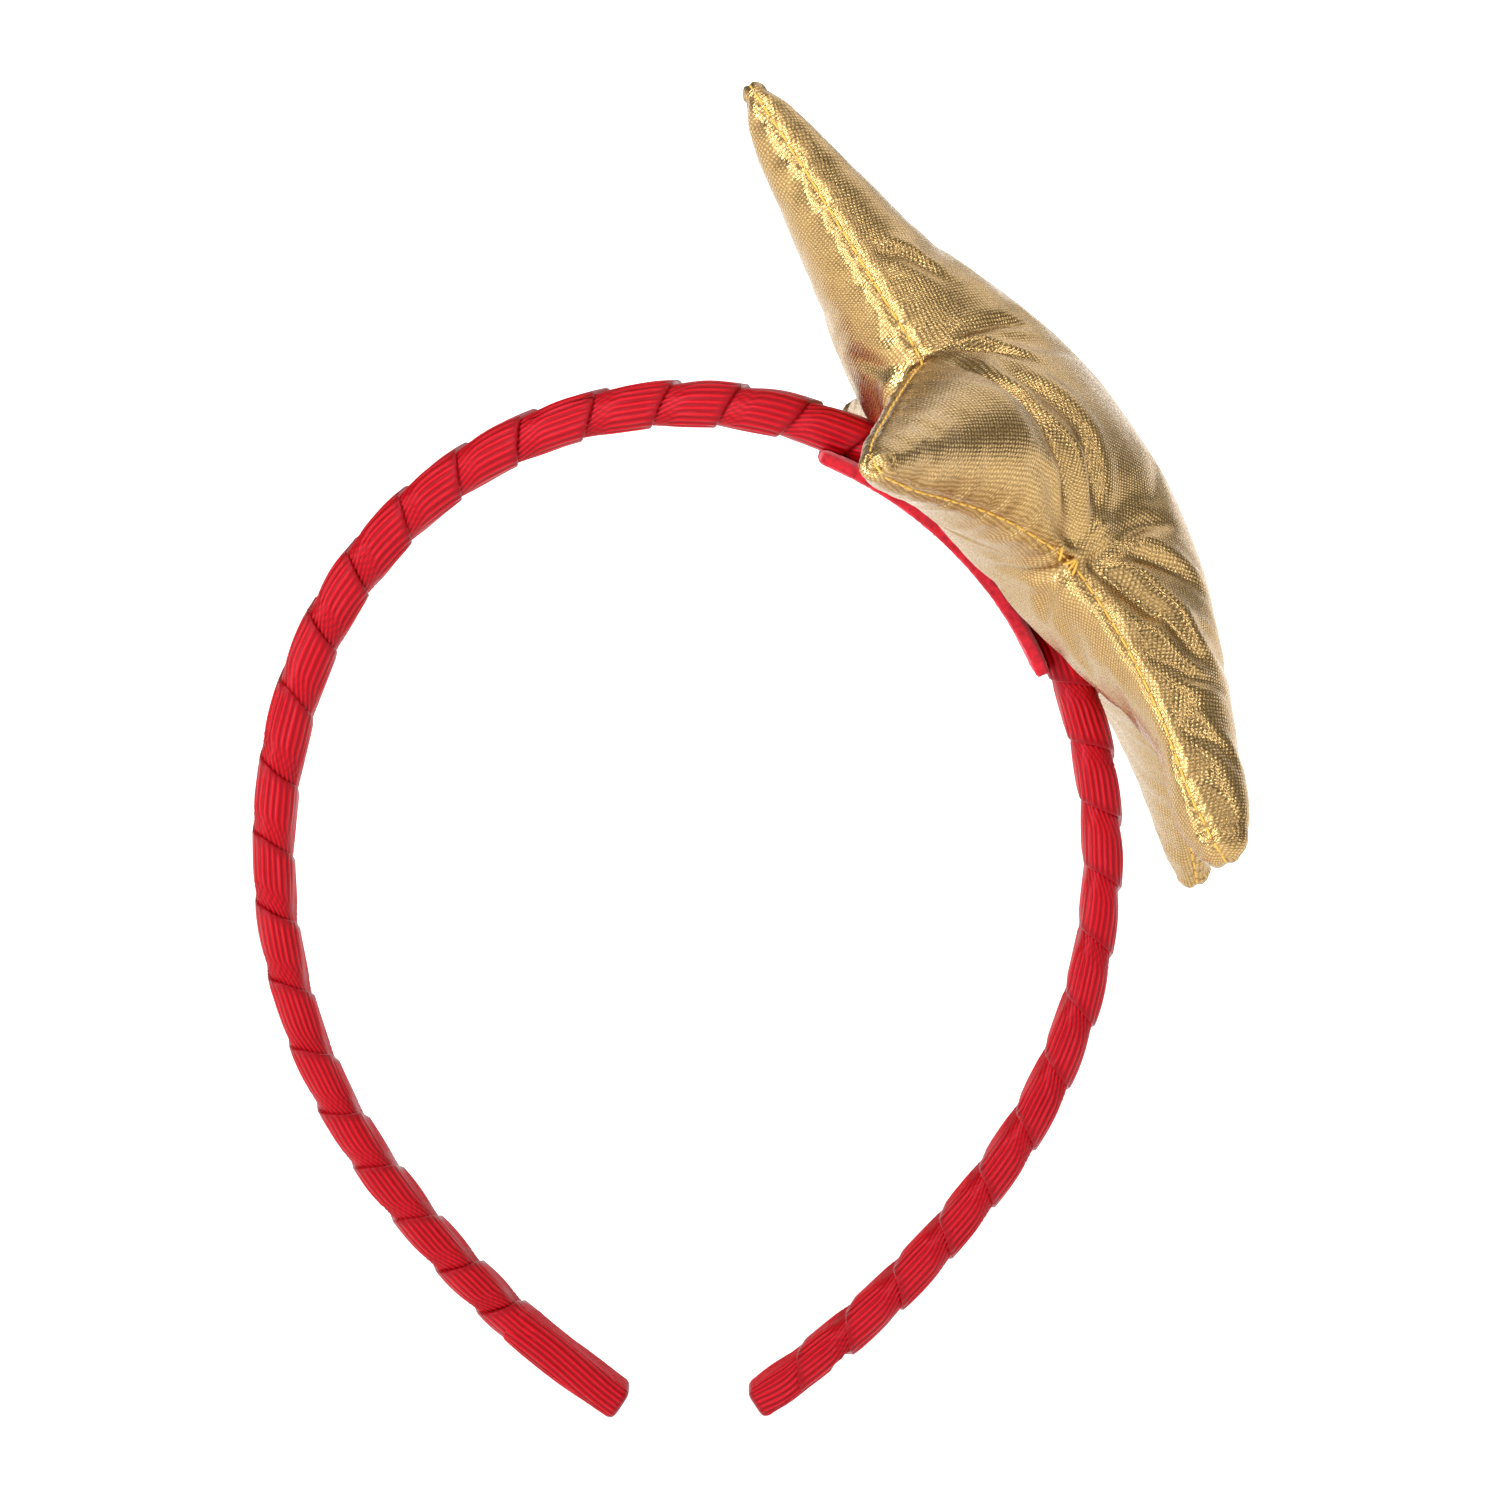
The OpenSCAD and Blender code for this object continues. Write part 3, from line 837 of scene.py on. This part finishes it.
def tube(path, radius, sides=6, cap=True):
    """Points and faces of a thin tube along path."""
    path = np.asarray(path, float)
    n = len(path)
    tang = np.gradient(path, axis=0)
    tang /= np.linalg.norm(tang, axis=1)[:, None] + 1e-12
    ref = np.array([0, 0, 1.0]) if abs(tang[0][2]) < 0.9 else np.array([1.0, 0, 0])
    pts = []
    for i in range(n):
        a = np.cross(tang[i], ref)
        a /= np.linalg.norm(a) + 1e-12
        b = np.cross(tang[i], a)
        ref = np.cross(a, tang[i])
        r = radius if np.isscalar(radius) else radius[i]
        for k in range(sides):
            q = 2 * math.pi * k / sides
            pts.append(path[i] + r * (math.cos(q) * a + math.sin(q) * b))
    faces = []
    for i in range(n - 1):
        for k in range(sides):
            faces.append((i * sides + k, i * sides + (k + 1) % sides, (i + 1) * sides + (k + 1) % sides, (i + 1) * sides + k))
    if cap:
        faces.append(tuple(range(sides))[::-1])
        faces.append(tuple((n - 1) * sides + k for k in range(sides)))
    return np.array(pts), faces


def gather(parts):
    pts, faces, base = [], [], 0
    for p, f in parts:
        pts.append(p)
        faces += [tuple(i + base for i in g) for g in f]
        base += len(p)
    return np.concatenate(pts), faces


def rim_walk(rim, out):
    """The seam as a closed line: place and outward normal at a length along it."""
    keep = [0]
    for i in range(1, len(rim)):
        if np.linalg.norm(rim[i] - rim[keep[-1]]) > 0.25:
            keep.append(i)
    r, o = rim[keep], out[keep]
    r = 0.25 * np.roll(r, 1, 0) + 0.5 * r + 0.25 * np.roll(r, -1, 0)
    o = 0.25 * np.roll(o, 1, 0) + 0.5 * o + 0.25 * np.roll(o, -1, 0)
    closed, co = np.r_[r, r[:1]], np.r_[o, o[:1]]
    cum = np.r_[0, np.cumsum(np.linalg.norm(np.diff(closed, axis=0), axis=1))]
    total = cum[-1]

    def at(s):
        s = s % total
        q = np.array([np.interp(s, cum, closed[:, k]) for k in range(3)])
        n = np.array([np.interp(s, cum, co[:, k]) for k in range(3)])
        return q, n / (np.linalg.norm(n) + 1e-9)

    return at, total, r


def seam_stitches(rim, out):
    """Short machine stitches lying in the seam."""
    at, total, _ = rim_walk(rim, out)
    count = int(total / 2.25)
    parts = []
    g = np.random.default_rng(5)
    for i in range(count):
        s0 = total * i / count
        ln = 1.8 + g.uniform(-0.1, 0.1)
        side = g.uniform(-0.05, 0.05)
        path = []
        for f in np.linspace(0, 1, 6):
            q, n = at(s0 + ln * f)
            path.append(q + n * (0.02 + 0.17 * math.sin(math.pi * f)) + np.array([0, 0, side]))
        parts.append(tube(path, 0.18, 6))
    pts, faces = gather(parts)
    return mesh_object("seam_stitches", to_row(pts), faces)


def closing_stitches(rim, out):
    """Hand stitches over the seam where the stuffing went in."""
    at, total, r = rim_walk(rim, out)
    cum = np.r_[0, np.cumsum(np.linalg.norm(np.diff(r, axis=0), axis=1))]
    s0 = cum[int(np.argmin(np.hypot(r[:, 0] - 8, r[:, 1] + 31.2)))]
    parts = []
    g = np.random.default_rng(9)
    for dx in (-2.6, -0.5, 0.15, 0.8):
        q, n = at(s0 + dx)
        t = at(s0 + dx + 0.4)[0] - at(s0 + dx - 0.4)[0]
        t /= np.linalg.norm(t) + 1e-9
        c = np.cross(t, n)
        tilt = g.uniform(-0.9, 0.9)
        path = []
        for f in np.linspace(-1, 1, 9):
            path.append(q + n * (0.50 - 0.30 * f * f) + c * (0.85 * f) + t * (tilt * f))
        parts.append(tube(path, 0.2, 7))
    pts, faces = gather(parts)
    return mesh_object("closing_loops", to_row(pts), faces)


# ---------------------------------------------------------------- felt pad
def felt_pad():
    r_out, r_in = 58.5 - 2.95 + 0.12, 53.5
    a0, a1 = math.radians(20.5), math.radians(68.4)
    nu, nw, nt = 110, 44, 5
    half_w = 8.9
    g = np.random.default_rng(3)
    pts, index = [], {}
    wav = g.uniform(-1, 1, (6, 3))

    def place(i, j, k):
        key = (i, j, k)
        if key in index:
            return index[key]
        fa, fy, ft = i / nu, j / nw * 2 - 1, k / nt
        edge = max(abs(fa * 2 - 1) ** 40, abs(fy) ** 14)
        mid = 0.5
        ft2 = mid + (ft - mid) * (1 - 0.35 * edge)
        a = a0 + (a1 - a0) * fa
        rr = r_in + (r_out - r_in) * ft2
        # a little flatter than the band between its two ends, and sagging off it at the long edges
        rr -= 0.5 * math.sin(math.pi * fa) * abs(fy) ** 3
        y = fy * half_w * (1 + 0.015 * math.sin(a * 31) + 0.01 * math.sin(a * 77 + 1))
        a += 0.004 * math.sin(fy * 5 + 2 * wav[0, 0]) * (1 if fa > 0.5 else -1)
        n = g.normal(0, 0.045, 3)
        p = np.array([rr * math.sin(a) + n[0], y + n[1], rr * math.cos(a) + n[2]])
        index[key] = len(pts)
        pts.append(p)
        return index[key]

    faces = []
    for i in range(nu):
        for j in range(nw):
            for k, flip in ((0, False), (nt, True)):
                q = (place(i, j, k), place(i + 1, j, k), place(i + 1, j + 1, k), place(i, j + 1, k))
                faces.append(q[::-1] if flip else q)
    for i in range(nu):
        for k in range(nt):
            for j, flip in ((0, True), (nw, False)):
                q = (place(i, j, k), place(i + 1, j, k), place(i + 1, j, k + 1), place(i, j, k + 1))
                faces.append(q[::-1] if flip else q)
    for j in range(nw):
        for k in range(nt):
            for i, flip in ((0, False), (nu, True)):
                q = (place(i, j, k), place(i, j + 1, k), place(i, j + 1, k + 1), place(i, j, k + 1))
                faces.append(q[::-1] if flip else q)
    ob = mesh_object("felt_pad", np.array(pts), faces)
    bm = bmesh.new()
    bm.from_mesh(ob.data)
    bmesh.ops.recalc_face_normals(bm, faces=bm.faces)
    bm.to_mesh(ob.data)
    bm.free()
    return ob


# ---------------------------------------------------------------- materials
def material(name, base, rough=0.6, metallic=0.0):
    m = bpy.data.materials.new(name)
    m.use_nodes = True
    nt = m.node_tree
    b = nt.nodes["Principled BSDF"]
    b.inputs["Base Color"].default_value = (*base, 1)
    b.inputs["Roughness"].default_value = rough
    b.inputs["Metallic"].default_value = metallic
    return m, nt, b


def node(nt, kind, **values):
    n = nt.nodes.new(kind)
    for k, v in values.items():
        if k in n.inputs:
            n.inputs[k].default_value = v
        else:
            setattr(n, k, v)
    return n


def math_node(nt, op, a, b=None, clamp=False):
    n = nt.nodes.new("ShaderNodeMath")
    n.operation = op
    n.use_clamp = clamp
    for i, x in enumerate((a, b)):
        if x is None:
            continue
        if isinstance(x, (int, float)):
            n.inputs[i].default_value = x
        else:
            nt.links.new(x, n.inputs[i])
    return n.outputs[0]


def attr(nt, name):
    n = nt.nodes.new("ShaderNodeAttribute")
    n.attribute_name = name
    return n


def ribbon_material(name, valley_shade, crown_lit):
    m, nt, b = material(name, crown_lit, 0.36)
    rib, lap, strip = attr(nt, "rib"), attr(nt, "lapf"), attr(nt, "strip")
    # painted shade and painted highlight: the colour follows the rib attribute, from the dark valley shade to the
    # lighter red of the lit rib crowns
    ramp = node(nt, "ShaderNodeValToRGB")
    ramp.color_ramp.elements[0].position, ramp.color_ramp.elements[0].color = 0.10, (*valley_shade, 1)
    ramp.color_ramp.elements[1].position, ramp.color_ramp.elements[1].color = 0.85, (*crown_lit, 1)
    nt.links.new(rib.outputs["Fac"], ramp.inputs["Fac"])
    nt.links.new(ramp.outputs["Color"], b.inputs["Base Color"])
    # fine threads across the ribs
    wave = node(nt, "ShaderNodeTexWave", Scale=1.6, Distortion=1.5)
    wave.bands_direction = "Y"
    wave.inputs["Detail"].default_value = 1.0
    nt.links.new(strip.outputs["Vector"], wave.inputs["Vector"])
    noise = node(nt, "ShaderNodeTexNoise", Scale=2.2, Detail=3.0)
    nt.links.new(strip.outputs["Vector"], noise.inputs["Vector"])
    h = math_node(nt, "ADD", wave.outputs["Fac"], math_node(nt, "MULTIPLY", noise.outputs["Fac"], 0.8))
    bump = node(nt, "ShaderNodeBump", Strength=0.30, Distance=0.00008)
    nt.links.new(h, bump.inputs["Height"])
    nt.links.new(bump.outputs["Normal"], b.inputs["Normal"])
    b.inputs["Sheen Weight"].default_value = 0.04
    b.inputs["Sheen Roughness"].default_value = 0.35
    b.inputs["Sheen Tint"].default_value = (1.0, 0.62, 0.66, 1)
    b.inputs["Specular IOR Level"].default_value = 0.9
    b.inputs["Specular Tint"].default_value = (1.0, 0.14, 0.19, 1)
    return m


def felt_material():
    m, nt, b = material("red_felt", (0.50, 0.006, 0.016), 0.95)
    tc = node(nt, "ShaderNodeTexCoord")
    noise = node(nt, "ShaderNodeTexNoise", Scale=900.0, Detail=6.0)
    nt.links.new(tc.outputs["Object"], noise.inputs["Vector"])
    ramp = node(nt, "ShaderNodeValToRGB")
    ramp.color_ramp.elements[0].position, ramp.color_ramp.elements[0].color = 0.3, (0.30, 0.003, 0.010, 1)
    ramp.color_ramp.elements[1].position, ramp.color_ramp.elements[1].color = 0.7, (0.62, 0.012, 0.026, 1)
    nt.links.new(noise.outputs["Fac"], ramp.inputs["Fac"])
    nt.links.new(ramp.outputs["Color"], b.inputs["Base Color"])
    bump = node(nt, "ShaderNodeBump", Strength=0.8, Distance=0.0003)
    nt.links.new(noise.outputs["Fac"], bump.inputs["Height"])
    nt.links.new(bump.outputs["Normal"], b.inputs["Normal"])
    b.inputs["Sheen Weight"].default_value = 0.7
    b.inputs["Sheen Roughness"].default_value = 0.6
    b.inputs["Sheen Tint"].default_value = (1.0, 0.35, 0.4, 1)
    b.inputs["Specular IOR Level"].default_value = 0.1
    return m


def foil_material():
    m, nt, b = material("gold_foil_cloth", (0.85, 0.56, 0.25), 0.5, 1.0)
    flat = attr(nt, "flat")

    # two crossing sets of fine threads, laid on the flat cloth
    def weave(angle, scale):
        mp = node(nt, "ShaderNodeMapping")
        mp.inputs["Rotation"].default_value = (0, 0, angle)
        nt.links.new(flat.outputs["Vector"], mp.inputs["Vector"])
        w = node(nt, "ShaderNodeTexWave", Scale=scale, Distortion=0.8)
        w.inputs["Detail"].default_value = 1.5
        w.inputs["Detail Scale"].default_value = 2.0
        nt.links.new(mp.outputs["Vector"], w.inputs["Vector"])
        return w.outputs["Fac"]

    cross = math_node(nt, "MULTIPLY", weave(0.62, 0.62), weave(-0.95, 0.62))
    fine = node(nt, "ShaderNodeTexNoise", Scale=3.4, Detail=2.0, Roughness=0.7)
    nt.links.new(flat.outputs["Vector"], fine.inputs["Vector"])
    patch = node(nt, "ShaderNodeTexNoise", Scale=0.35, Detail=3.0, Roughness=0.6)
    nt.links.new(flat.outputs["Vector"], patch.inputs["Vector"])
    h = math_node(nt, "ADD", math_node(nt, "MULTIPLY", cross, math_node(nt, "ADD", patch.outputs["Fac"], 0.5)), math_node(nt, "MULTIPLY", fine.outputs["Fac"], 0.7))
    bump = node(nt, "ShaderNodeBump", Strength=0.28, Distance=0.00018)
    nt.links.new(h, bump.inputs["Height"])
    nt.links.new(bump.outputs["Normal"], b.inputs["Normal"])
    # painted shade: the colour is darker where the weave sinks between the threads and lighter where they cross on top;
    # the fine noise adds random tone
    ramp = node(nt, "ShaderNodeValToRGB")
    ramp.color_ramp.elements[0].position, ramp.color_ramp.elements[0].color = 0.12, (0.26, 0.150, 0.048, 1)
    ramp.color_ramp.elements[1].position, ramp.color_ramp.elements[1].color = 0.66, (0.72, 0.49, 0.215, 1)
    nt.links.new(math_node(nt, "ADD", math_node(nt, "MULTIPLY", cross, 0.5), math_node(nt, "MULTIPLY", fine.outputs["Fac"], 0.5)), ramp.inputs["Fac"])
    nt.links.new(ramp.outputs["Color"], b.inputs["Base Color"])
    # the foil is smooth where a thread rises and rough in the gaps
    rough = node(nt, "ShaderNodeValToRGB")
    rough.color_ramp.elements[0].position, rough.color_ramp.elements[0].color = 0.40, (0.48, 0.48, 0.48, 1)
    rough.color_ramp.elements[1].position, rough.color_ramp.elements[1].color = 0.56, (0.14, 0.14, 0.14, 1)
    nt.links.new(fine.outputs["Fac"], rough.inputs["Fac"])
    nt.links.new(rough.outputs["Color"], b.inputs["Roughness"])
    return m


def plain_fabric(name, base, rough, scale, strength, dist):
    m, nt, b = material(name, base, rough)
    tc = node(nt, "ShaderNodeTexCoord")
    noise = node(nt, "ShaderNodeTexNoise", Scale=scale, Detail=4.0)
    nt.links.new(tc.outputs["Object"], noise.inputs["Vector"])
    bump = node(nt, "ShaderNodeBump", Strength=strength, Distance=dist)
    nt.links.new(noise.outputs["Fac"], bump.inputs["Height"])
    nt.links.new(bump.outputs["Normal"], b.inputs["Normal"])
    return m


# ---------------------------------------------------------------- build
starts, zero = lap_starts()
starts = starts - 3.4 * smooth(148, 187, -starts)
TAB_R, TAB_L = HALF - 12.0, HALF - 17.8
# turns between the two folded ends
first = int(np.argmin(np.abs(starts + HALF - 6.5)))
last = int(np.searchsorted(starts, TAB_L)) + 1
mid = zero + 1
ribbon_right = wound_ribbon("ribbon_right_half", starts, first, mid, -999, 999)
ribbon_left = wound_ribbon("ribbon_left_half", starts, mid, last, -999, TAB_L + 4)
tab_left = end_tab("ribbon_end_left_fold", 1, TAB_L)
tab_right = end_tab("ribbon_end_right_fold", -1, TAB_R)
star, rim_at, rim_out = star_piece()
stitches = seam_stitches(rim_at, rim_out)
loops = closing_stitches(rim_at, rim_out)
pad = felt_pad()

# the first colour is the painted shade of the rib valleys, the second the red of the rib crowns with painted highlight
red = ribbon_material("red_grosgrain", (0.22, 0.0003, 0.0022), (0.51, 0.0020, 0.0080))
foil = foil_material()
felt = felt_material()
thread = plain_fabric("gold_thread", (0.78, 0.46, 0.07), 0.5, 4000, 0.4, 0.00005)
plastic = plain_fabric("core_plastic", (0.80, 0.78, 0.74), 0.45, 600, 0.1, 0.00005)
glue = plain_fabric("hot_glue", (0.78, 0.70, 0.58), 0.18, 300, 0.5, 0.0002)
for ob, mat in ((ribbon_right, red), (ribbon_left, red), (tab_left, red), (tab_right, red), (star, foil), (stitches, thread), (loops, thread), (pad, felt)):
    ob.data.materials.clear()
    ob.data.materials.append(mat)
clear = next(n for n in glue.node_tree.nodes if n.type == "BSDF_PRINCIPLED")
clear.inputs["Transmission Weight"].default_value = 0.85
clear.inputs["Roughness"].default_value = 0.28
for l in list(clear.inputs["Base Color"].links):
    glue.node_tree.links.remove(l)
clear.inputs["Base Color"].default_value = (0.80, 0.52, 0.24, 1)
for n, mat in (("core_crown", plastic), ("core_left_leg", plastic), ("core_right_leg", plastic), ("glue_patch", glue), ("glue_star", glue)):
    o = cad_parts[n]
    o.data.materials.clear()
    o.data.materials.append(mat)

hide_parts("ribbon_right_leg", "ribbon_crown")
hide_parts("ribbon_left_leg", "ribbon_crown")
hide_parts("ribbon_end_left")
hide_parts("ribbon_end_right")
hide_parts("star_front_panel", "star_back_panel", "star_stuffing")
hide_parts("star_seam_thread")
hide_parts("closing_stitches")
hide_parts("felt_patch")

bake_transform(ribbon_right)
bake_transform(ribbon_left)
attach(tab_left, "left_leg")
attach(tab_right, "right_leg")
for ob in (star, stitches, loops, pad):
    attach(ob, "crown")

# ---------------------------------------------------------------- stage
FLOOR_Z = -0.1045
# a pale floor that sweeps up behind
prof = [(-9.0, 0.0), (-4.2, 0.0), (-1.0, 0.0), (0.1, 0.0), (0.5, 0.0), (1.2, 0.0), (2.0, 0.0)]
for i in range(1, 25):
    t = math.pi / 2 * i / 24
    prof.append((2.0 + 0.4 * math.sin(t), 0.4 - 0.4 * math.cos(t)))
prof.append((2.4, 0.8))
fp, ff = [], []
for x in (-8.0, 8.0):
    for y, z in prof:
        fp.append((x, y, FLOOR_Z + z))
np_ = len(prof)
for i in range(np_ - 1):
    ff.append((i, np_ + i, np_ + i + 1, i + 1))
fm = bpy.data.meshes.new("floor")
fm.from_pydata(fp, [], ff)
fm.polygons.foreach_set("use_smooth", np.ones(len(fm.polygons), bool))
floor = bpy.data.objects.new("floor", fm)
bpy.context.scene.collection.objects.link(floor)
m, nt, b = material("pale_floor", (0.90, 0.90, 0.90), 0.9)
b.inputs["Specular IOR Level"].default_value = 0.0
b.inputs["Emission Color"].default_value = (1, 1, 1, 1)
tcf = nt.nodes.new("ShaderNodeTexCoord")
away = nt.nodes.new("ShaderNodeVectorMath")
away.operation = "LENGTH"
nt.links.new(tcf.outputs["Object"], away.inputs[0])
grow = nt.nodes.new("ShaderNodeMapRange")
grow.inputs["From Min"].default_value = 0.15
grow.inputs["From Max"].default_value = 1.1
grow.inputs["To Min"].default_value = 0.48
grow.inputs["To Max"].default_value = 1.0
nt.links.new(away.outputs["Value"], grow.inputs["Value"])
nt.links.new(grow.outputs["Result"], b.inputs["Emission Strength"])
floor.data.materials.append(m)

world = bpy.data.worlds.new("studio")
bpy.context.scene.world = world
world.use_nodes = True
wt = world.node_tree
bg = wt.nodes["Background"]
bg.inputs["Color"].default_value = (1, 1, 1, 1)
bg.inputs["Strength"].default_value = 0.26


def area(name, loc, target, size, power, color=(1, 1, 1)):
    d = bpy.data.lights.new(name, "AREA")
    d.energy = power
    d.shape = "RECTANGLE"
    d.size, d.size_y = size
    d.color = color
    o = bpy.data.objects.new(name, d)
    bpy.context.scene.collection.objects.link(o)
    o.location = loc
    o.rotation_euler = (Vector(target) - Vector(loc)).to_track_quat("-Z", "Y").to_euler()
    return o


area("key", (-0.64, -0.74, 0.42), (0, 0, 0), (0.12, 0.8), 9.6)
area("left", (-0.95, -0.10, 0.05), (0, 0, 0), (0.25, 0.7), 0.5)
area("right", (0.80, -0.45, 0.50), (0.03, 0, 0.03), (0.10, 0.7), 1.6)
area("top", (0.05, -0.30, 1.0), (0, 0, 0), (0.8, 0.14), 3.0)
area("front", (0.05, -1.2, 0.50), (0, 0, 0), (0.9, 0.6), 2.2)
area("above", (0.44, 0.72, 0.82), (0, 0, 0.03), (0.9, 0.7), 2.4)

S = 0.144
tx, tz = (750 - 688) * S * MM, (810 - 750) * S * MM
el = math.radians(5)
D = 0.9
cam_d = bpy.data.cameras.new("cam")
cam_d.sensor_width = 36
cam_d.angle = 2 * math.atan(0.108 / D)
cam = bpy.data.objects.new("cam", cam_d)
bpy.context.scene.collection.objects.link(cam)
cam.location = (tx, -D * math.cos(el), tz + D * math.sin(el))
cam.rotation_euler = (Vector((tx, 0, tz)) - cam.location).to_track_quat("-Z", "Y").to_euler()
bpy.context.scene.camera = cam
bpy.context.scene.view_settings.view_transform = "Standard"
